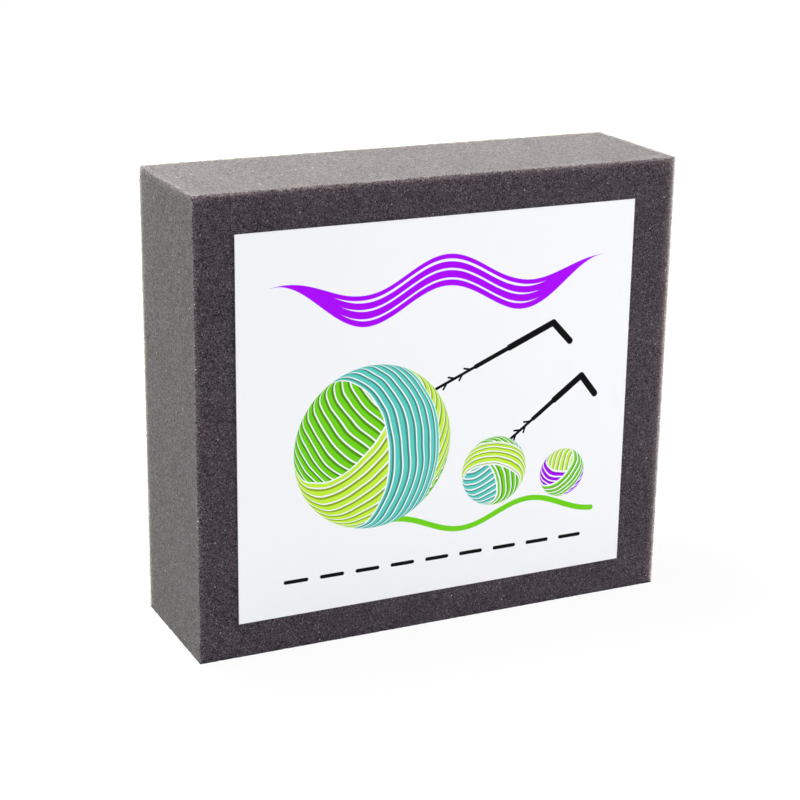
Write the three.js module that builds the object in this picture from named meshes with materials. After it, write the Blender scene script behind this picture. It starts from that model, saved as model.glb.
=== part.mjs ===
// Needle felting mat: a block of charcoal open-cell foam with a paper label stuck on its front face.
// Millimetres, +Z up. The mat stands on its long narrow side, with its label facing -Y.
// The origin is under the middle of the whole part, on the surface that it stands on.

import * as THREE from 'three';
import { RoundedBoxGeometry } from 'three/addons/geometries/RoundedBoxGeometry.js';

// The foam block, as cut from the slab
const PAD_WIDTH = 107.0;
const PAD_DEPTH = 31.8;
const PAD_HEIGHT = 96.5;
const PAD_EDGE_RADIUS = 0.4;
const PAD_EDGE_STEPS = 2;

// Bare foam left showing on each side of the label
const LABEL_MARGIN_LEFT = 8.4;
const LABEL_MARGIN_RIGHT = 9.7;
const LABEL_MARGIN_TOP = 8.2;
const LABEL_MARGIN_BOTTOM = 7.5;

// The label's two layers, and the clearance between faces that are stuck together
const PAPER_THICKNESS = 0.15;
const ADHESIVE_THICKNESS = 0.05;
const BOND_CLEARANCE = 0.02;

// Places that follow from the sizes above
const labelStack = PAPER_THICKNESS + ADHESIVE_THICKNESS + 2 * BOND_CLEARANCE;
const padCentreY = labelStack / 2;
const padFrontY = padCentreY - PAD_DEPTH / 2;
const labelWidth = PAD_WIDTH - LABEL_MARGIN_LEFT - LABEL_MARGIN_RIGHT;
const labelHeight = PAD_HEIGHT - LABEL_MARGIN_TOP - LABEL_MARGIN_BOTTOM;
const labelCentreX = (LABEL_MARGIN_LEFT - LABEL_MARGIN_RIGHT) / 2;
const labelCentreZ = LABEL_MARGIN_BOTTOM + labelHeight / 2;

const foam = new THREE.MeshStandardMaterial({ color: 0x453e44, roughness: 0.95, metalness: 0 });
const paper = new THREE.MeshStandardMaterial({ color: 0xf3f4f8, roughness: 0.6, metalness: 0 });
const adhesive = new THREE.MeshStandardMaterial({ color: 0xe6e2d6, roughness: 0.4, metalness: 0 });

// The block with its knife-cut edges very slightly rounded, as foam edges relax after cutting.
function makeFoamPad() {
  const shape = new RoundedBoxGeometry(PAD_WIDTH, PAD_DEPTH, PAD_HEIGHT, PAD_EDGE_STEPS, PAD_EDGE_RADIUS);
  const pad = new THREE.Mesh(shape, foam);
  pad.name = 'foam_pad';
  pad.position.set(0, padCentreY, PAD_HEIGHT / 2);
  return pad;
}

// One flat layer of the label, with its back face at backY. All layers are cut to the same outline.
function makeLabelLayer(name, thickness, backY, material) {
  const layer = new THREE.Mesh(new THREE.BoxGeometry(labelWidth, thickness, labelHeight), material);
  layer.name = name;
  layer.position.set(labelCentreX, backY - thickness / 2, labelCentreZ);
  return layer;
}

// The adhesive coat lies on the foam, and the paper lies on the adhesive.
function makeLabel() {
  const adhesiveBackY = padFrontY - BOND_CLEARANCE;
  const paperBackY = adhesiveBackY - ADHESIVE_THICKNESS - BOND_CLEARANCE;
  const label = new THREE.Group();
  label.add(makeLabelLayer('label_adhesive', ADHESIVE_THICKNESS, adhesiveBackY, adhesive));
  label.add(makeLabelLayer('label_face', PAPER_THICKNESS, paperBackY, paper));
  return label;
}

const mat = new THREE.Group();
mat.add(makeFoamPad());
mat.add(makeLabel());

export default mat;
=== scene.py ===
"""Looks of a needle felting mat: a block of charcoal foam with a printed paper label on its front."""

import logging
import math
import random
from collections.abc import Iterable
from dataclasses import dataclass, field
from enum import Enum
from typing import ClassVar

import bmesh
import bpy
from mathutils import Matrix, Vector, noise


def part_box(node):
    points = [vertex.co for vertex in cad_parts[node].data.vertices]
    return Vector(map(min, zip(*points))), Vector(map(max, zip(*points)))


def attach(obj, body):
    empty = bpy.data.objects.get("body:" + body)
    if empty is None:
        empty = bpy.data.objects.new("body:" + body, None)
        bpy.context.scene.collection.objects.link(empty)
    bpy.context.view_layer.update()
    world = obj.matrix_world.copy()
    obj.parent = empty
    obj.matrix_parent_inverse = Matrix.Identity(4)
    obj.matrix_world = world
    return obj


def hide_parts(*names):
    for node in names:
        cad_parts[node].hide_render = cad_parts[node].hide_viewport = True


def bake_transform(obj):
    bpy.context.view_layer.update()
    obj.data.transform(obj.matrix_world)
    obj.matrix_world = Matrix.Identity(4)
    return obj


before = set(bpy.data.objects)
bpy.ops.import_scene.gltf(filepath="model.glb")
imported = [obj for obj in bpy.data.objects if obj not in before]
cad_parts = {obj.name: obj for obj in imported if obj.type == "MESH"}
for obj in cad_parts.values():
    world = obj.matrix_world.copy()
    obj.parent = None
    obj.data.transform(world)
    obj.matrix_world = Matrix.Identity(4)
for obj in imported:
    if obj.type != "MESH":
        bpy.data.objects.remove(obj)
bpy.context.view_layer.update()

Colour = tuple[float, float, float]
Point = tuple[float, float]
Range = tuple[float, float]
Pair = tuple[float, float]
Socket = bpy.types.NodeSocket
Value = float | Vector | tuple | Socket

LOG = logging.getLogger("felting_mat")
MM = 0.001

# The UV map that the looks are baked into
BAKE_MAP = "OFBake"

# The share of an edge's length along an axis past which it runs along that axis
STRAIGHT = 0.999

# A share that rises from nothing to all, and one that falls
UNIT: Range = (0.0, 1.0)
FALLING: Range = (1.0, 0.0)


class Graph:
    """Writes the nodes of one material or world in a few words."""

    def __init__(self, owner: bpy.types.Material | bpy.types.World) -> None:
        """Starts from an empty node tree.

        Args:
            owner: The material or world whose nodes are written.
        """
        owner.use_nodes = True
        self.tree = owner.node_tree
        self.tree.nodes.clear()

    def feed(self, socket: Socket, value: Value) -> None:
        """Links a socket to another, or sets its own value.

        Args:
            socket: The input that is fed.
            value: The output that it is linked to, or the value that it is set to.
        """
        if isinstance(value, Socket):
            self.tree.links.new(value, socket)
        else:
            socket.default_value = value

    def node(self, kind: str, inputs: dict | None = None, **settings: object) -> bpy.types.Node:
        """Adds a node.

        Args:
            kind: The node's type, without its ShaderNode prefix.
            inputs: Values or sockets by input name or number.
            settings: The node's own properties.

        Returns:
            The new node.
        """
        made = self.tree.nodes.new("ShaderNode" + kind)
        for name, value in settings.items():
            setattr(made, name, value)
        for name, value in (inputs or {}).items():
            self.feed(made.inputs[name], value)
        return made

    def math(self, operation: str, *values: Value) -> Socket:
        """Adds a Math node.

        Args:
            operation: What the node works out.
            values: Up to three numbers, in the node's order.

        Returns:
            The result.
        """
        return self.node("Math", dict(enumerate(values)), operation=operation).outputs[0]

    def vector(self, operation: str, *values: Value) -> Socket:
        """Adds a Vector Math node that gives a vector.

        Args:
            operation: What the node works out.
            values: Its vectors, in the node's order.

        Returns:
            The result.
        """
        return self.node("VectorMath", dict(enumerate(values)), operation=operation).outputs["Vector"]

    def measure(self, operation: str, *values: Value) -> Socket:
        """Adds a Vector Math node that gives a number.

        Args:
            operation: What the node works out, such as a length or a dot product.
            values: Its vectors, in the node's order.

        Returns:
            The result.
        """
        return self.node("VectorMath", dict(enumerate(values)), operation=operation).outputs["Value"]

    def scaled(self, vector: Value, scale: Value) -> Socket:
        """Gives a vector times a number."""
        return self.node("VectorMath", {0: vector, "Scale": scale}, operation="SCALE").outputs["Vector"]

    def ease(self, value: Value, source: Range, target: Range = UNIT) -> Socket:
        """Maps a number smoothly from one range to another, and holds it past the ends.

        Args:
            value: The number.
            source: The range that it comes from.
            target: What the ends of that range become.

        Returns:
            The mapped number.
        """
        ends = {"From Min": source[0], "From Max": source[1], "To Min": target[0], "To Max": target[1]}
        made = self.node("MapRange", {"Value": value, **ends}, interpolation_type="SMOOTHSTEP")
        return made.outputs["Result"]

    def mix(self, share: Value, first: Value, second: Value, how: str = "MIX") -> Socket:
        """Mixes two colours.

        Args:
            share: How much of the second colour shows, from 0 to 1.
            first: The colour underneath.
            second: The colour on top.
            how: The way that they are mixed.

        Returns:
            The mixed colour.
        """
        inputs = {"Factor": share, "A": first, "B": second}
        return self.node("Mix", inputs, data_type="RGBA", blend_type=how).outputs["Result"]

    def surface(self, shader: bpy.types.Node) -> None:
        """Makes a shader the material's surface."""
        end = self.node("OutputMaterial", {"Surface": shader.outputs[0]})
        end.is_active_output = True


def rgba(colour: Colour) -> tuple[float, float, float, float]:
    """Gives a linear colour an alpha of 1."""
    return (*colour, 1.0)


def runs_along(edge: bmesh.types.BMEdge, axis: int) -> bool:
    """Tells whether an edge lies along an axis."""
    run = edge.verts[1].co - edge.verts[0].co
    return abs(run[axis]) > STRAIGHT * run.length


def plain_box(low: Vector, high: Vector) -> bmesh.types.BMesh:
    """Makes a plain box.

    Args:
        low: Its lowest corner.
        high: Its highest corner.

    Returns:
        The new shape.
    """
    shape = bmesh.new()
    bmesh.ops.create_cube(shape, size=1.0)
    bmesh.ops.scale(shape, vec=high - low, verts=shape.verts)
    bmesh.ops.translate(shape, vec=(low + high) / 2, verts=shape.verts)
    return shape


def placed(shape: bmesh.types.BMesh, name: str) -> bpy.types.Object:
    """Turns a shape into an object and puts it in the scene.

    Args:
        shape: The shape, which is freed.
        name: The name of the object and its mesh.

    Returns:
        The new object.
    """
    mesh = bpy.data.meshes.new(name)
    shape.to_mesh(mesh)
    shape.free()
    made = bpy.data.objects.new(name, mesh)
    bpy.context.collection.objects.link(made)
    return made


@dataclass(frozen=True)
class FoamFinish:
    """Open-cell polyurethane foam: dark pores among paler struts, with light glowing through its edges.

    The two large faces are skived from the slab and carry painted glints, the light caught by bared struts.
    The narrow sides are sawn and softer, with a painted highlight along their edges. A few films left across
    cells carry painted glints on every side.
    """

    # Attributes of the mesh: which faces are skived, and how near to an edge a point is, which masks the
    # painted edge highlight
    SKIVED: ClassVar[str] = "skived"
    EDGE_HIGHLIGHT_MASK: ClassVar[str] = "rim"

    # Linear colours of struts, pores, painted glints of light-catching struts, and painted glints of films
    # left across cells
    strut: Colour = (0.1150, 0.0955, 0.1150)
    pore: Colour = (0.0085, 0.0068, 0.0085)
    glint: Colour = (0.22, 0.192, 0.212)
    film_glint: Colour = (0.60, 0.57, 0.58)

    # The web: its cells, its fine grains and their share in it, how much longer both are along the slab's
    # thickness, how far a strut reaches into its cell, and the contrast of sawn sides and of skived ones
    cell: float = 0.50 * MM
    grain: float = 0.27 * MM
    grain_share: float = 0.65
    rise: float = 1.8
    strut_reach: float = 0.30
    sawn_contrast: float = 0.86
    skived_contrast: float = 1.10

    # Painted glints, the light caught by bared struts: the random number from which a grain is one, and
    # where it fades, in grains
    glint_from: float = 0.94
    fade: Range = (0.35, 0.75)

    # The few films left across cells, painted as glints of the light that they catch, on sawn sides and on
    # skived ones: the random number from which a grain is one, and how much of it shows
    film_glint_from: Range = (0.997, 0.9988)
    film_glint_share: Range = (0.35, 0.75)

    # Broad patches of tone, and the painted highlight along sawn edges, where free struts catch the light
    mottle: float = 9.0 * MM
    mottle_detail: float = 3.0
    mottle_fade: Range = (0.3, 0.7)
    mottle_tone: Range = (0.95, 1.05)
    sawn_edge_highlight: float = 0.22

    # Shine and relief, with the roughness of a pore and of a strut, and the glow of light through the foam
    roughness: Range = (0.98, 0.82)
    bump: float = 0.02 * MM
    bump_strength: float = 0.8
    specular: float = 0.03
    sheen: float = 0.08
    sheen_roughness: float = 0.50
    sheen_tint: Colour = (0.97, 1.0, 0.92)
    glow: Colour = (1.06, 1.0, 0.93)
    glow_reach: float = 8.0 * MM

    def material(self) -> bpy.types.Material:
        """Makes the foam's material.

        Returns:
            The new material.
        """
        made = bpy.data.materials.new("charcoal_foam")
        graph = Graph(made)
        place = graph.node("TexCoord").outputs["Object"]
        skived = graph.node("Attribute", attribute_name=self.SKIVED).outputs["Fac"]
        risen = graph.vector("MULTIPLY", place, (1.0, 1.0 / self.rise, 1.0))
        grains = graph.node("TexVoronoi", {"Vector": risen, "Scale": 1.0 / self.grain})
        chance = graph.node("SeparateColor", {"Color": grains.outputs["Color"]})
        web = self._web(graph, risen, chance.outputs[0], skived)
        near = graph.ease(grains.outputs["Distance"], self.fade, FALLING)
        # Painted glints: a few grains on the skived faces, made bright as struts that catch the light
        painted_glint = graph.math("GREATER_THAN", chance.outputs[1], self.glint_from)
        painted_glint = graph.math("MULTIPLY", graph.math("MULTIPLY", painted_glint, near), skived)
        # Painted glints of the films left across cells, fainter on the sawn sides
        film_glinted = graph.math("GREATER_THAN", chance.outputs[2], graph.ease(skived, UNIT, self.film_glint_from))
        shown = graph.ease(skived, UNIT, self.film_glint_share)
        film_glinted = graph.math("MULTIPLY", graph.math("MULTIPLY", film_glinted, near), shown)
        colour = graph.mix(web, rgba(self.pore), rgba(self.strut))
        colour = graph.mix(painted_glint, colour, rgba(self.glint))
        colour = graph.mix(film_glinted, colour, rgba(self.film_glint))
        bump = graph.node("Bump", {"Height": web, "Distance": self.bump, "Strength": self.bump_strength})
        shader = graph.node("BsdfPrincipled", {
            "Base Color": self._toned_and_edge_lit(graph, place, skived, colour),
            "Roughness": graph.ease(web, UNIT, self.roughness),
            "Normal": bump.outputs["Normal"],
            "Specular IOR Level": self.specular,
            "Sheen Weight": self.sheen,
            "Sheen Roughness": self.sheen_roughness,
            "Sheen Tint": rgba(self.sheen_tint),
            "Subsurface Weight": 1.0,
            "Subsurface Radius": self.glow,
            "Subsurface Scale": self.glow_reach,
        })
        graph.surface(shader)
        return made

    def _web(self, graph: Graph, place: Socket, chance: Socket, skived: Socket) -> Socket:
        """Tells struts from pores.

        Args:
            graph: The material's nodes.
            place: Where the point is in the foam.
            chance: A random number for each grain.
            skived: 1 on a skived face and 0 on a sawn one.

        Returns:
            A number near 1 on a strut and near 0 in a pore.
        """
        spots = {"Vector": place, "Scale": 1.0 / self.cell}
        cells = graph.node("TexVoronoi", spots, feature="DISTANCE_TO_EDGE")
        walls = graph.ease(cells.outputs["Distance"], (0.0, self.strut_reach), FALLING)
        walls = graph.math("MULTIPLY", walls, 1.0 - self.grain_share)
        raw = graph.math("MULTIPLY_ADD", chance, self.grain_share, walls)
        contrast = graph.ease(skived, UNIT, (self.sawn_contrast, self.skived_contrast))
        return graph.math("MULTIPLY_ADD", graph.math("SUBTRACT", raw, 0.5), contrast, 0.5)

    def _toned_and_edge_lit(self, graph: Graph, place: Socket, skived: Socket, colour: Socket) -> Socket:
        """Varies a colour in faint broad patches, and paints a highlight along sawn edges, where free struts
        catch light.

        Args:
            graph: The material's nodes.
            place: Where the point is in the foam.
            skived: 1 on a skived face and 0 on a sawn one.
            colour: The colour to vary.

        Returns:
            The toned colour.
        """
        spots = {"Vector": place, "Scale": 1.0 / self.mottle, "Detail": self.mottle_detail}
        clouds = graph.node("TexNoise", spots).outputs["Fac"]
        patches = graph.ease(clouds, self.mottle_fade, self.mottle_tone)
        # Painted highlight along sawn edges, standing for the light that free struts catch there
        rim = graph.node("Attribute", attribute_name=self.EDGE_HIGHLIGHT_MASK).outputs["Fac"]
        edge_highlight = graph.ease(skived, UNIT, (self.sawn_edge_highlight, 0.0))
        tone = graph.math("MULTIPLY_ADD", rim, edge_highlight, patches)
        grey = graph.node("CombineColor", {0: tone, 1: tone, 2: tone})
        return graph.mix(1.0, colour, grey.outputs[0], "MULTIPLY")


class Side(Enum):
    """A side of the block: its axis and direction, and its column and row in the foam's bake map."""

    FRONT = (1, -1, 0, 0)
    BACK = (1, 1, 1, 0)
    UNDER = (2, -1, 0, 1)
    TOP = (2, 1, 1, 1)
    LEFT = (0, -1, 0, 2)
    RIGHT = (0, 1, 1, 2)

    def __init__(self, axis: int, way: int, column: int, row: int) -> None:
        """Names the side's numbers.

        Args:
            axis: The axis that the side faces along: 0, 1 or 2.
            way: The direction along it: -1 or 1.
            column: The side's column in the bake map.
            row: The side's row in the bake map.
        """
        self.axis = axis
        self.way = way
        self.column = column
        self.row = row

    @classmethod
    def of(cls, normal: Vector) -> "Side":
        """Gives the side that a direction points to most."""
        return max(cls, key=lambda side: normal[side.axis] * side.way)


@dataclass
class FoamPad:
    """The foam block, knife-cut from a slab, with its cells open on every side."""

    node: str = "foam_pad"
    body: str = "pad"
    slot: str = "foam"
    finish: FoamFinish = field(default_factory=FoamFinish)
    seed: int = 41

    # The block's edges, and the grid that its sides are cut into
    edge_radius: float = 0.15 * MM
    edge_segments: int = 2
    pitch: float = 0.595 * MM
    jitter: float = 0.16 * MM

    # How far the cut sinks: cell by cell, in slow waves that end near the edges, and where an edge is torn
    cell_depth: float = 0.05 * MM
    edge_cell_share: float = 0.4
    wave_depth: float = 0.05 * MM
    wave_length: float = 24.0 * MM
    calm: float = 2.0 * MM
    tear_depth: float = 0.18 * MM
    tear_width: float = 0.60 * MM
    tear_length: float = 0.45 * MM

    # The width of the painted highlight along the edges, and the gap between sides in the bake map
    edge_highlight_width: float = 1.2 * MM
    map_gap: float = 2.0 * MM

    low: Vector = field(init=False)
    high: Vector = field(init=False)

    def __post_init__(self) -> None:
        """Takes the block's corners from the frame."""
        self.low, self.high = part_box(self.node)

    def build(self) -> bpy.types.Object:
        """Makes the block.

        Returns:
            The new piece.
        """
        shape = self._block()
        self._cut_grid(shape)
        shape.normal_update()
        sides = shape.faces.layers.int.new("side")
        skived = shape.faces.layers.float.new(FoamFinish.SKIVED)
        for face in shape.faces:
            side = Side.of(face.normal)
            face[sides] = list(Side).index(side)
            face[skived] = float(side in (Side.FRONT, Side.BACK))
        self._open_cells(shape)
        self._lay_map(shape, sides)
        piece = placed(shape, "foam_block")
        piece.data.shade_smooth()
        return piece

    def dress(self, piece: bpy.types.Object) -> None:
        """Gives the block its finish, body and place in the frame.

        Args:
            piece: The block.
        """
        piece.data.materials.append(self.finish.material())
        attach(piece, self.body)
        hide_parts(self.node)

    def _block(self) -> bmesh.types.BMesh:
        """Makes the plain block with its edges slightly rounded.

        Returns:
            The new shape.
        """
        shape = plain_box(self.low, self.high)
        bmesh.ops.bevel(shape, geom=shape.edges[:], offset=self.edge_radius, offset_type="OFFSET",
                        segments=self.edge_segments, profile=0.5, affect="EDGES", material=-1)
        return shape

    def _cut_grid(self, shape: bmesh.types.BMesh) -> None:
        """Cuts every flat side and rounded edge into a grid as fine as the foam's cells.

        Args:
            shape: The plain block.
        """
        for axis in range(3):
            span = self.high[axis] - self.low[axis] - 2 * self.edge_radius
            along = [e for e in shape.edges if runs_along(e, axis) and e.calc_length() > span / 2]
            cuts = round(span / self.pitch) - 1
            bmesh.ops.subdivide_edges(shape, edges=along, cuts=cuts, use_grid_fill=True)

    def _open_cells(self, shape: bmesh.types.BMesh) -> None:
        """Sinks each point into the cell that it cuts through, and slides it a little along the surface.

        Args:
            shape: The block, cut into its grid.
        """
        draw = random.Random(self.seed)
        rim = shape.verts.layers.float.new(FoamFinish.EDGE_HIGHLIGHT_MASK)
        for vert in shape.verts:
            from_edge = self._from_edge(vert.co)
            # Mask of the painted edge highlight: 1 at an edge, falling to 0 over its width
            vert[rim] = max(0.0, 1.0 - from_edge / self.edge_highlight_width)
            sink = self._sink(vert.co, from_edge, draw.random())
            slide = Vector([draw.uniform(-1, 1) for _ in range(3)]) * self.jitter
            slide -= vert.normal * slide.dot(vert.normal)
            freedom = min(1.0, max(0.0, from_edge / self.pitch - 1.0))
            vert.co += slide * freedom - vert.normal * sink

    def _from_edge(self, place: Vector) -> float:
        """Measures how far a point on the surface is from the nearest edge.

        Args:
            place: The point.

        Returns:
            The distance.
        """
        centre = (self.low + self.high) / 2
        half = (self.high - self.low) / 2
        return sorted(half[i] - abs(place[i] - centre[i]) for i in range(3))[1]

    def _sink(self, place: Vector, from_edge: float, chance: float) -> float:
        """Works out how far a point lies under the flat of the cut.

        Args:
            place: The point.
            from_edge: How far it is from the nearest edge.
            chance: A random number from 0 to 1.

        Returns:
            The depth.
        """
        inner = min(1.0, from_edge / self.calm)
        cells = self.cell_depth * chance * (self.edge_cell_share + (1.0 - self.edge_cell_share) * inner)
        wave = self.wave_depth * (0.5 + 0.5 * noise.noise(place / self.wave_length)) * inner
        outer = max(0.0, 1.0 - from_edge / self.tear_width)
        tear = self.tear_depth * max(0.0, noise.noise(place / self.tear_length)) * outer
        return cells + wave + tear

    def _lay_map(self, shape: bmesh.types.BMesh, sides: bmesh.types.BMLayerItem) -> None:
        """Lays the six sides flat, in two columns and three rows, in the bake map.

        Args:
            shape: The block.
            sides: The layer that holds the number of each face's side.
        """
        layer = shape.loops.layers.uv.new(BAKE_MAP)
        size = self.high - self.low
        column = max(size.x, size.z) + self.map_gap
        rows = (0.0, size.z + self.map_gap, size.z + size.y + 2 * self.map_gap)
        row_axes = ((0, 2), (0, 1), (2, 1))
        order = list(Side)
        for face in shape.faces:
            side = order[face[sides]]
            first, second = row_axes[side.row]
            for loop in face.loops:
                offset = loop.vert.co - self.low
                across = side.column * column + offset[first]
                up = rows[side.row] + offset[second]
                loop[layer].uv = (across / (2 * column), up / (2 * column))


class Ink(Enum):
    """The label's printing inks, as linear colours."""

    GREEN = (0.155, 0.600, 0.012)
    LIME = (0.520, 0.800, 0.050)
    TEAL = (0.100, 0.560, 0.500)
    BLACK = (0.002, 0.002, 0.002)
    PURPLE = (0.380, 0.002, 0.900)

    @property
    def full(self) -> tuple[float, float, float, float]:
        """The ink at full strength."""
        return rgba(self.value)

    def shaded(self, share: float) -> tuple[float, float, float, float]:
        """Gives the ink's darker tone, which keeps a share of its light."""
        return rgba(tuple(part * share for part in self.value))


@dataclass(frozen=True)
class Winding:
    """A band of strands round a ball of yarn: its turn and tip in degrees, and half its width in radians."""

    turn: float
    tip: float
    half_width: float

    def axis(self, extra_turn: float) -> Vector:
        """Gives the direction that the strands go round, with the ball turned further by some degrees."""
        turn, tip = math.radians(self.turn + extra_turn), math.radians(self.tip)
        return Vector((-math.sin(turn) * math.cos(tip), math.cos(turn) * math.cos(tip), math.sin(tip)))


@dataclass(frozen=True)
class YarnBall:
    """A printed ball of yarn: its centre, radius and strand in millimetres, its turn, and its inks."""

    x: float
    y: float
    radius: float
    strand: float
    turn: float
    inks: tuple[Ink, ...]


@dataclass(frozen=True)
class PaperFinish:
    """Bluish-white matte label paper, printed with a craft pattern."""

    paper: Colour = (0.863, 0.872, 0.904)
    ink_edge: float = 0.05

    # The paper's fibres: their size, tone and relief
    fibre: float = 0.35 * MM
    fibre_detail: float = 4.0
    fibre_fade: Range = (0.25, 0.75)
    fibre_tone: Range = (0.985, 1.0)
    fibre_bump: float = 0.004 * MM
    bump_strength: float = 0.6
    roughness: Range = (0.55, 0.68)
    specular: float = 0.04

    def material(self, width: float) -> bpy.types.Material:
        """Makes the printed paper.

        Args:
            width: The label's width, in millimetres.

        Returns:
            The new material.
        """
        made = bpy.data.materials.new("label_paper")
        graph = Graph(made)
        flat = graph.node("UVMap", uv_map=BAKE_MAP).outputs["UV"]
        spot = graph.scaled(flat, Label.MAP_SPAN / MM)
        spread = {"Vector": spot, "Scale": MM / self.fibre, "Detail": self.fibre_detail}
        grain = graph.node("TexNoise", spread).outputs["Fac"]
        tone = graph.ease(grain, self.fibre_fade, self.fibre_tone)
        parts = {i: graph.math("MULTIPLY", tone, part) for i, part in enumerate(self.paper)}
        white = graph.node("CombineColor", parts).outputs[0]
        relief = {"Height": grain, "Distance": self.fibre_bump, "Strength": self.bump_strength}
        bump = graph.node("Bump", relief)
        shader = graph.node("BsdfPrincipled", {
            "Base Color": Print(graph, spot, white, width, self.ink_edge).over(),
            "Roughness": graph.ease(grain, self.fibre_fade, self.roughness),
            "Normal": bump.outputs["Normal"],
            "Specular IOR Level": self.specular,
        })
        graph.surface(shader)
        return made


@dataclass
class Print:
    """The label's craft pattern: balls of yarn, needles, roving, a loose strand and stitches.

    All its places and sizes are in millimetres, from the label's lower left corner.
    """

    graph: Graph
    spot: Socket
    paper: Socket
    width: float
    edge: float

    # Balls of yarn: the gap between strands, where a strand's shade starts, its depth, and how strands waver
    gap: float = 0.36
    shade_start: float = 0.64
    shade: float = 0.45
    waver: float = 0.12
    waver_scale: float = 1.6
    waver_detail: float = 1.0
    windings: tuple[Winding, ...] = (
        Winding(-38.0, 22.0, 2.0),
        Winding(47.0, 36.0, 0.62),
        Winding(-82.0, -34.0, 0.40),
    )
    balls: tuple[YarnBall, ...] = (
        YarnBall(29.5, 34.0, 17.5, 1.95, 0.0, (Ink.GREEN, Ink.LIME, Ink.TEAL)),
        YarnBall(57.5, 25.0, 7.6, 1.35, 70.0, (Ink.TEAL, Ink.GREEN, Ink.LIME)),
        YarnBall(74.0, 22.3, 5.4, 1.15, -55.0, (Ink.LIME, Ink.PURPLE, Ink.GREEN)),
    )

    # Needles: the tip, bend and crank end of each, its half width from each step on, and its barbs
    needles: tuple[tuple[Point, Point, Point], ...] = (
        ((40.5, 43.5), (70.5, 56.0), (74.6, 51.6)),
        ((59.0, 30.0), (77.8, 43.6), (81.2, 39.2)),
    )
    needle_steps: tuple[Pair, ...] = ((0.0, 0.32), (0.40, 0.50), (0.66, 0.72))
    barbs: tuple[float, ...] = (0.18, 0.24, 0.30, 0.36)
    barb_back: float = 1.2
    barb_out: float = 0.9
    barb_half_width: float = 0.22

    # The hank of roving: its wave, the reach of its ends, and the offset and half width of each strand
    roving_level: float = 66.3
    roving_rise: float = 3.4
    roving_length: float = 36.5
    roving_inset: float = 7.0
    roving_spread: float = 22.0
    roving_taper: float = 14.0
    roving_strands: tuple[Pair, ...] = ((-2.7, 0.62), (-0.9, 0.78), (1.0, 0.70), (2.75, 0.50))

    # The loose strand, and the row of stitches
    tail_level: float = 15.4
    tail_rise: float = 2.2
    tail_length: float = 32.0
    tail_ends: Range = (34.0, 81.5)
    tail_half_width: float = 0.6
    stitch_level: float = 7.4
    stitch_step: float = 8.0
    stitch_length: float = 4.6
    stitch_half_width: float = 0.42

    across: Socket = field(init=False)
    up: Socket = field(init=False)

    def __post_init__(self) -> None:
        """Splits the place on the label into how far it is across and up."""
        split = self.graph.node("SeparateXYZ", {"Vector": self.spot})
        self.across, self.up = split.outputs["X"], split.outputs["Y"]

    def over(self) -> Socket:
        """Prints every motif over the paper.

        Returns:
            The printed colour.
        """
        colour = self._tail(self._roving(self.paper))
        for needle in self.needles:
            colour = self._needle(colour, *needle)
        for ball in self.balls:
            colour = self._yarn_ball(colour, ball)
        return self._stitches(colour)

    def _lay(self, colour: Socket, distance: Socket, ink: Value) -> Socket:
        """Lays an ink over a colour where a signed distance is below 0."""
        return self.graph.mix(self.graph.ease(distance, (-self.edge, self.edge), FALLING), colour, ink)

    def _from(self, x: float, y: float) -> Socket:
        """Gives the place on the label as seen from a point."""
        return self.graph.vector("SUBTRACT", self.spot, (x, y, 0.0))

    def _stroke(self, start: Vector, end: Vector, half_width: float) -> Socket:
        """Measures the way to a straight stroke with round ends.

        Args:
            start: Where the stroke starts.
            end: Where it ends.
            half_width: Half its width.

        Returns:
            The signed distance.
        """
        graph = self.graph
        run = (end - start).to_3d()
        offset = self._from(*start)
        share = graph.math("DIVIDE", graph.measure("DOT_PRODUCT", offset, run), run.length_squared)
        held = graph.node("Clamp", {"Value": share}).outputs[0]
        away = graph.measure("LENGTH", graph.vector("SUBTRACT", offset, graph.scaled(run, held)))
        return graph.math("SUBTRACT", away, half_width)

    def _round(self, past: Socket, away: Socket, half_width: float) -> Socket:
        """Measures the way to a line with round ends.

        Args:
            past: How far a point is past the line's end.
            away: How far it is beside the line.
            half_width: Half the line's width.

        Returns:
            The signed distance.
        """
        graph = self.graph
        both = graph.node("CombineXYZ", {"X": graph.math("MAXIMUM", past, 0.0), "Y": away}).outputs[0]
        return graph.math("SUBTRACT", graph.measure("LENGTH", both), half_width)

    def _yarn_ball(self, colour: Socket, ball: YarnBall) -> Socket:
        """Prints a ball of yarn, its strands drawn as they lie round a sphere.

        Args:
            colour: What is printed so far.
            ball: The ball.

        Returns:
            The printed colour.
        """
        graph = self.graph
        offset = self._from(ball.x, ball.y)
        flat = graph.scaled(offset, 1.0 / ball.radius)
        depth = graph.math("SUBTRACT", 1.0, graph.measure("DOT_PRODUCT", flat, flat))
        front = graph.math("SQRT", graph.math("MAXIMUM", depth, 0.0))
        sphere = graph.vector("ADD", flat, graph.node("CombineXYZ", {"Z": front}).outputs[0])
        spread = {"Vector": sphere, "Scale": self.waver_scale, "Detail": self.waver_detail}
        swing = graph.math("SUBTRACT", graph.node("TexNoise", spread).outputs["Fac"], 0.5)
        swing = graph.math("MULTIPLY", swing, self.waver * ball.radius)
        inner = self.paper
        for winding, ink in zip(self.windings, ball.inks):
            lean = graph.measure("DOT_PRODUCT", sphere, winding.axis(ball.turn))
            along = graph.math("MULTIPLY_ADD", graph.math("ARCSINE", lean), ball.radius, swing)
            inner = self._band(inner, along, winding.half_width * ball.radius, ball.strand, ink)
        away = graph.measure("LENGTH", offset)
        return self._lay(colour, graph.math("SUBTRACT", away, ball.radius), inner)

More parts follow.
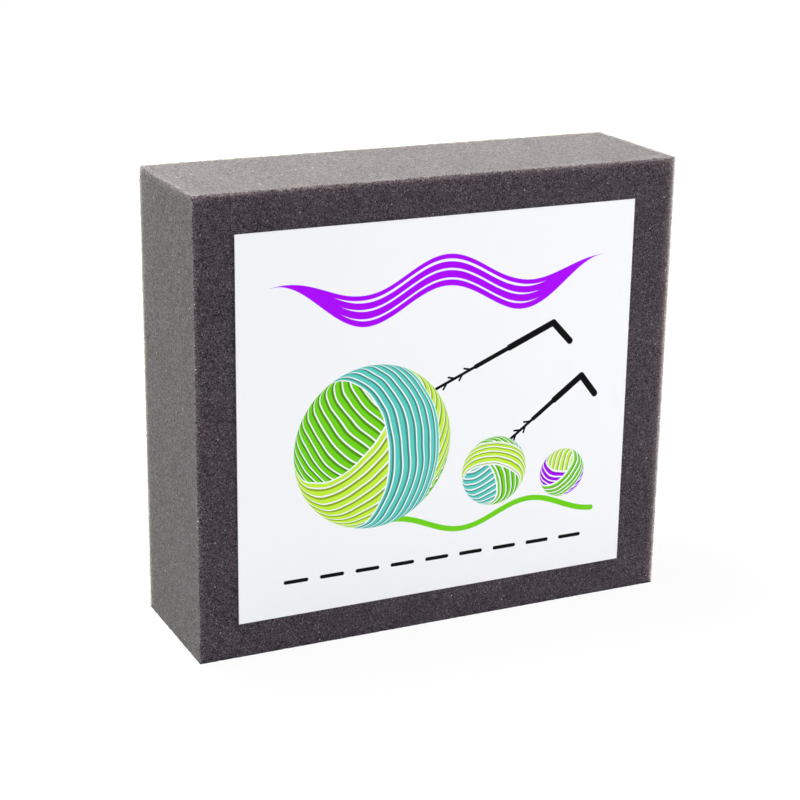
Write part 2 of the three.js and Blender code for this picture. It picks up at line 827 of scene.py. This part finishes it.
    def _band(self, colour: Socket, along: Socket, half_width: float, strand: float, ink: Ink) -> Socket:
        """Prints one band of strands with darker edges, and bare paper between them and round the band.

        Args:
            colour: What is printed so far.
            along: How far a point is from the band's middle.
            half_width: Half the band's width.
            strand: The width of a strand with its gap.
            ink: The strands' ink.

        Returns:
            The printed colour.
        """
        graph = self.graph
        band = graph.math("SUBTRACT", graph.math("ABSOLUTE", along), half_width)
        colour = self._lay(colour, graph.math("SUBTRACT", band, self.gap), self.paper)
        part = graph.math("FLOORED_MODULO", along, strand)
        middle = graph.math("ABSOLUTE", graph.math("SUBTRACT", part, strand / 2))
        thread = graph.math("MAXIMUM", band, graph.math("SUBTRACT", middle, (strand - self.gap) / 2))
        colour = self._lay(colour, thread, ink.full)
        shaded = graph.math("MAXIMUM", thread, graph.math("SUBTRACT", self.shade_start * strand, part))
        return self._lay(colour, shaded, ink.shaded(self.shade))

    def _needle(self, colour: Socket, tip: Point, bend: Point, end: Point) -> Socket:
        """Prints a cranked felting needle, stepped down to a barbed blade.

        Args:
            colour: What is printed so far.
            tip: The needle's point.
            bend: Where its shank is cranked.
            end: The crank's end.

        Returns:
            The printed colour.
        """
        tip, bend, end = Vector(tip), Vector(bend), Vector(end)
        run = bend - tip
        strokes = [(tip + run * share, bend, half_width) for share, half_width in self.needle_steps]
        strokes.append((bend, end, self.needle_steps[-1][1]))
        way = run.normalized()
        for count, share in enumerate(self.barbs):
            root = tip + run * share
            out = self.barb_out if count % 2 else -self.barb_out
            point = root - way * self.barb_back + way.orthogonal() * out
            strokes.append((root, point, self.barb_half_width))
        for stroke in strokes:
            colour = self._lay(colour, self._stroke(*stroke), Ink.BLACK.full)
        return colour

    def _wave(self, level: float, rise: float, length: float, crest: float) -> tuple[Socket, Socket]:
        """Follows an even wave.

        Args:
            level: The wave's middle height.
            rise: How far its crests rise above that.
            length: How far apart its crests are.
            crest: Where one of them is.

        Returns:
            The height above the wave, and the wave's slope.
        """
        graph = self.graph
        pace = 2 * math.pi / length
        turn = graph.math("MULTIPLY", graph.math("SUBTRACT", self.across, crest), pace)
        middle = graph.math("MULTIPLY_ADD", graph.math("COSINE", turn), rise, level)
        slope = graph.math("MULTIPLY", graph.math("SINE", turn), rise * pace)
        return graph.math("SUBTRACT", self.up, middle), slope

    def _roving(self, colour: Socket) -> Socket:
        """Prints a wavy hank of purple wool, drawn out thin at both ends.

        Args:
            colour: What is printed so far.

        Returns:
            The printed colour.
        """
        graph = self.graph
        crest = self.roving_length / 4
        height, _ = self._wave(self.roving_level, self.roving_rise, self.roving_length, crest)
        from_left = graph.math("SUBTRACT", self.across, self.roving_inset)
        from_right = graph.math("SUBTRACT", self.width - self.roving_inset, self.across)
        inside = graph.math("MINIMUM", from_left, from_right)
        past = graph.math("MULTIPLY", inside, -1.0)
        spread = graph.ease(inside, (0.0, self.roving_spread))
        fullness = graph.ease(inside, (0.0, self.roving_taper))
        for offset, half_width in self.roving_strands:
            line = graph.math("ABSOLUTE", graph.math("MULTIPLY_ADD", spread, -offset, height))
            distance = graph.math("MULTIPLY_ADD", fullness, -half_width, line)
            colour = self._lay(colour, graph.math("MAXIMUM", distance, past), Ink.PURPLE.full)
        return colour

    def _tail(self, colour: Socket) -> Socket:
        """Prints the loose strand that runs out from under the large ball.

        Args:
            colour: What is printed so far.

        Returns:
            The printed colour.
        """
        graph = self.graph
        start, end = self.tail_ends
        height, slope = self._wave(self.tail_level, self.tail_rise, self.tail_length, start)
        steep = graph.math("SQRT", graph.math("MULTIPLY_ADD", slope, slope, 1.0))
        away = graph.math("DIVIDE", height, steep)
        before = graph.math("SUBTRACT", start, self.across)
        after = graph.math("SUBTRACT", self.across, end)
        past = graph.math("MAXIMUM", after, before)
        return self._lay(colour, self._round(past, away, self.tail_half_width), Ink.GREEN.full)

    def _stitches(self, colour: Socket) -> Socket:
        """Prints a row of running stitches along the label's foot.

        Args:
            colour: What is printed so far.

        Returns:
            The printed colour.
        """
        graph = self.graph
        count = math.floor((self.width - 2 * self.stitch_level) / self.stitch_step)
        half_row = count * self.stitch_step / 2
        from_middle = graph.math("SUBTRACT", self.across, self.width / 2)
        from_start = graph.math("ADD", from_middle, half_row)
        part = graph.math("FLOORED_MODULO", from_start, self.stitch_step)
        place = graph.math("ABSOLUTE", graph.math("SUBTRACT", part, self.stitch_step / 2))
        past = graph.math("SUBTRACT", place, self.stitch_length / 2)
        away = graph.math("SUBTRACT", self.up, self.stitch_level)
        stitch = self._round(past, away, self.stitch_half_width)
        row = graph.math("SUBTRACT", graph.math("ABSOLUTE", from_middle), half_row)
        return self._lay(colour, graph.math("MAXIMUM", stitch, row), Ink.BLACK.full)


@dataclass(frozen=True)
class AdhesiveFinish:
    """The label's sticky back: a glossy cream coat, marked by the foam's cells."""

    cream: Colour = (0.72, 0.70, 0.62)
    mark: Colour = (0.52, 0.49, 0.43)
    cell: float = 0.62 * MM
    mark_fade: Range = (0.1, 0.6)
    roughness: Range = (0.5, 0.28)
    bump: float = 0.02 * MM
    bump_strength: float = 0.7

    def material(self) -> bpy.types.Material:
        """Makes the adhesive's material.

        Returns:
            The new material.
        """
        made = bpy.data.materials.new("label_adhesive")
        graph = Graph(made)
        flat = graph.node("UVMap", uv_map=BAKE_MAP).outputs["UV"]
        marks = graph.node("TexVoronoi", {"Vector": flat, "Scale": Label.MAP_SPAN / self.cell})
        clear = graph.ease(marks.outputs["Distance"], self.mark_fade)
        bump = graph.node("Bump", {"Height": clear, "Distance": self.bump, "Strength": self.bump_strength})
        shader = graph.node("BsdfPrincipled", {
            "Base Color": graph.mix(clear, rgba(self.mark), rgba(self.cream)),
            "Roughness": graph.ease(clear, UNIT, self.roughness),
            "Normal": bump.outputs["Normal"],
        })
        graph.surface(shader)
        return made


@dataclass
class Label:
    """The stuck-on label: a printed paper sheet and the adhesive coat behind it."""

    # The length that the whole bake map stands for
    MAP_SPAN: ClassVar[float] = 100.0 * MM

    paper_node: str = "label_face"
    adhesive_node: str = "label_adhesive"
    bodies: tuple[str, str] = ("pad", "label")
    paper: PaperFinish = field(default_factory=PaperFinish)
    adhesive: AdhesiveFinish = field(default_factory=AdhesiveFinish)

    # The grid that the sheet is cut into, its faint ripple, and a curl length from the stuck edge
    pitch: float = 1.5 * MM
    ripple: float = 0.03 * MM
    ripple_length: float = 17.0 * MM
    curl: float = 11.0 * MM

    # Where the hidden side and the rim lie in the bake map, and their scale there
    hidden_column: float = 0.02
    rim_column: float = 0.2
    rim_step: float = 0.1
    hidden_row: float = 0.86
    hidden_scale: float = 0.1

    low: Vector = field(init=False)
    high: Vector = field(init=False)

    def __post_init__(self) -> None:
        """Takes the paper's corners from the frame."""
        self.low, self.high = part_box(self.paper_node)

    def build(self) -> tuple[bpy.types.Object, bpy.types.Object]:
        """Makes both layers.

        Returns:
            The paper sheet and the adhesive coat.
        """
        paper = self._layer("printed_label", self.paper_node, Side.FRONT)
        coat = self._layer("label_glue_coat", self.adhesive_node, Side.BACK)
        return paper, coat

    def dress(self, paper: bpy.types.Object, coat: bpy.types.Object) -> None:
        """Gives both layers their finish and hides the solids whose places they take.

        Args:
            paper: The paper sheet.
            coat: The adhesive coat.
        """
        paper.data.materials.append(self.paper.material((self.high.x - self.low.x) / MM))
        coat.data.materials.append(self.adhesive.material())
        layers = ((paper, self.paper_node, "label_paper"), (coat, self.adhesive_node, "adhesive"))
        for piece, node, slot in layers:
            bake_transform(piece)
            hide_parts(node)

    def _layer(self, name: str, node: str, shown: Side) -> bpy.types.Object:
        """Makes one thin layer, cut fine enough to bend, that lies as the foam under it does.

        Args:
            name: The new piece's name.
            node: The CAD solid whose place it takes.
            shown: The side that is seen, and is laid out at full scale.

        Returns:
            The new piece.
        """
        low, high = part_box(node)
        shape = plain_box(low, high)
        for axis in (0, 2):
            along = [e for e in shape.edges if runs_along(e, axis)]
            cuts = round((high[axis] - low[axis]) / self.pitch) - 1
            bmesh.ops.subdivide_edges(shape, edges=along, cuts=cuts, use_grid_fill=True)
        shape.normal_update()
        self._lay_map(shape, shown)
        for vert in shape.verts:
            place = Vector((vert.co.x, 0.0, vert.co.z)) / self.ripple_length
            vert.co.y -= self.ripple * (0.5 + 0.5 * noise.noise(place))
        return placed(shape, name)

    def _lay_map(self, shape: bmesh.types.BMesh, shown: Side) -> None:
        """Lays the shown side at full scale from the map's corner, and the rest small above it.

        Args:
            shape: The layer.
            shown: The side that is seen.
        """
        layer = shape.loops.layers.uv.new(BAKE_MAP)
        for face in shape.faces:
            side = Side.of(face.normal)
            for loop in face.loops:
                across, deep, up = (loop.vert.co - self.low) / self.MAP_SPAN
                if side is shown:
                    loop[layer].uv = (across, up)
                elif side in (Side.FRONT, Side.BACK):
                    column = self.hidden_column + across * self.hidden_scale
                    loop[layer].uv = (column, self.hidden_row + up * self.hidden_scale)
                else:
                    column = self.rim_column + self.rim_step * list(Side).index(side)
                    run = up if side in (Side.LEFT, Side.RIGHT) else across
                    loop[layer].uv = (column + deep, self.hidden_row + run * self.hidden_scale)


@dataclass(frozen=True)
class SoftBox:
    """A square softbox: where it stands, its width, power and colour, and where it points."""

    name: str
    place: tuple[float, float, float]
    width: float
    power: float
    colour: Colour = (1.0, 1.0, 1.0)
    aim: tuple[float, float, float] = (0.0, 0.0, 0.045)

    def make(self) -> bpy.types.Object:
        """Makes the lamp, set up and pointed.

        Returns:
            The new lamp.
        """
        lamp = bpy.data.lights.new(self.name, "AREA")
        lamp.size = self.width
        lamp.energy = self.power
        lamp.color = self.colour
        box = bpy.data.objects.new(self.name, lamp)
        box.location = self.place
        box.rotation_mode = "QUATERNION"
        box.rotation_quaternion = (Vector(self.aim) - Vector(self.place)).to_track_quat("-Z", "Y")
        bpy.context.collection.objects.link(box)
        return box


@dataclass
class Studio:
    """A white table top under plain soft light, and the camera."""

    # The floor: what light it returns, how white the camera sees it near and far, and how much shadow shows
    floor_size: float = 8.0
    floor_colour: Colour = (0.12, 0.12, 0.12)
    floor_white: Range = (0.960, 1.0)
    floor_fade: Range = (0.06, 0.14)
    shadow_share: float = 0.12

    # The light: even from all round, from a strong lamp that lights only the foam and the floor, because it
    # would burn out the white of a peeled label, and from the other lamps
    ambient: float = 0.26
    foam_lamp: SoftBox = SoftBox("top_box", (-0.20, 0.20, 1.0), 0.4, 30.8, (0.93, 1.0, 0.84))
    lamps: tuple[SoftBox, ...] = (
        SoftBox("left_box", (-1.0, 0.10, 0.15), 0.5, 10.2, (0.89, 1.0, 0.935)),
        SoftBox("right_box", (1.1, 0.25, 0.45), 0.8, 7.0, (0.97, 1.0, 0.93)),
        SoftBox("front_box", (0.5, -1.9, 0.38), 1.4, 32.5, (1.005, 0.99, 1.01)),
        SoftBox("bounce_card", (0.42, -0.50, 0.08), 0.15, 1.2, (1.005, 0.99, 1.01)),
    )

    # The camera: the point that it looks at, its distance from it, its angles in degrees, and its lens
    aim: tuple[float, float, float] = (-2.08 * MM, 0.12 * MM, 45.12 * MM)
    distance: float = 419.7 * MM
    heading: float = 25.44
    height_angle: float = 17.91
    roll: float = 0.854
    lens: float = 88.81
    sensor: float = 36.0
    clip_start: float = 10.0 * MM

    def build(self, foam: bpy.types.Object) -> bpy.types.Object:
        """Sets up the light, the camera and the floor.

        Args:
            foam: The foam block.

        Returns:
            The floor.
        """
        bpy.context.scene.view_settings.view_transform = "Standard"
        floor = self._floor()
        self._light(foam, floor)
        self._sky()
        self._camera()
        return floor

    def _light(self, *dark: bpy.types.Object) -> None:
        """Sets up the lamps.

        Args:
            dark: The only objects that the foam's lamp lights.
        """
        lit = bpy.data.collections.new("lit_by_foam_lamp")
        for piece in dark:
            lit.objects.link(piece)
        self.foam_lamp.make().light_linking.receiver_collection = lit
        for lamp in self.lamps:
            lamp.make()

    def _seen(self, graph: Graph) -> Socket:
        """Tells where the background is looked at.

        Args:
            graph: The nodes of the world or the floor.

        Returns:
            1 where the camera looks straight at it, or by a reflection or through glass, and 0 elsewhere.
        """
        path = graph.node("LightPath")
        mirrored = graph.math("MAXIMUM", path.outputs["Is Glossy Ray"], path.outputs["Is Transmission Ray"])
        return graph.math("MAXIMUM", path.outputs["Is Camera Ray"], mirrored)

    def _sky(self) -> None:
        """Lights the scene evenly and shows white behind it."""
        world = bpy.data.worlds.new("studio")
        bpy.context.scene.world = world
        graph = Graph(world)
        strength = graph.math("MULTIPLY_ADD", self._seen(graph), 1.0 - self.ambient, self.ambient)
        light = graph.node("Background", {"Color": (1.0, 1.0, 1.0, 1.0), "Strength": strength})
        graph.node("OutputWorld", {"Surface": light.outputs[0]})

    def _floor(self) -> bpy.types.Object:
        """Makes the floor.

        Returns:
            The floor.
        """
        shape = bmesh.new()
        bmesh.ops.create_grid(shape, x_segments=1, y_segments=1, size=self.floor_size / 2)
        floor = placed(shape, "floor")
        floor.data.materials.append(self._table_top())
        return floor

    def _table_top(self) -> bpy.types.Material:
        """Makes the floor's material, white to the camera but for a faint shadow.

        Returns:
            The new material.
        """
        made = bpy.data.materials.new("white_table")
        graph = Graph(made)
        seen = self._seen(graph)
        away = graph.measure("LENGTH", graph.node("TexCoord").outputs["Object"])
        white = graph.node("Emission", {"Strength": graph.ease(away, self.floor_fade, self.floor_white)})
        plain = graph.node("BsdfDiffuse", {"Color": rgba(self.floor_colour)})
        dark = graph.node("Emission", {"Strength": 0.0})
        share = graph.math("MULTIPLY", seen, self.shadow_share)
        shadow = graph.node("MixShader", {0: share, 1: dark.outputs[0], 2: plain.outputs[0]})
        shown = graph.node("AddShader", {0: white.outputs[0], 1: shadow.outputs[0]})
        graph.surface(graph.node("MixShader", {0: seen, 1: plain.outputs[0], 2: shown.outputs[0]}))
        return made

    def _camera(self) -> None:
        """Stands the camera where the photograph was taken from."""
        data = bpy.data.cameras.new("camera")
        data.sensor_width = self.sensor
        data.lens = self.lens
        data.clip_start = self.clip_start
        camera = bpy.data.objects.new("camera", data)
        heading, up = math.radians(self.heading), math.radians(self.height_angle)
        look = Vector((math.sin(heading) * math.cos(up), math.cos(heading) * math.cos(up), -math.sin(up)))
        turn = look.to_track_quat("-Z", "Y").to_matrix().to_4x4()
        turn = turn @ Matrix.Rotation(math.radians(self.roll), 4, "Z")
        camera.matrix_world = Matrix.Translation(Vector(self.aim) - look * self.distance) @ turn
        bpy.context.collection.objects.link(camera)
        bpy.context.scene.camera = camera


def report(pieces: Iterable[bpy.types.Object]) -> None:
    """Logs each finished piece with its size in millimetres.

    Args:
        pieces: The pieces.
    """
    for piece in pieces:
        size = " x ".join(f"{side / MM:.2f}" for side in piece.dimensions)
        LOG.info("%s: %s mm, %d faces", piece.name, size, len(piece.data.polygons))


def main() -> None:
    """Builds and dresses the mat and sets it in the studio."""
    logging.basicConfig(level=logging.INFO, format="%(name)s: %(message)s")
    pad = FoamPad()
    block = pad.build()
    pad.dress(block)
    label = Label()
    paper, coat = label.build()
    label.dress(paper, coat)
    floor = Studio().build(block)
    bpy.context.view_layer.update()
    report((block, paper, coat, floor))


if __name__ == "__main__":
    main()
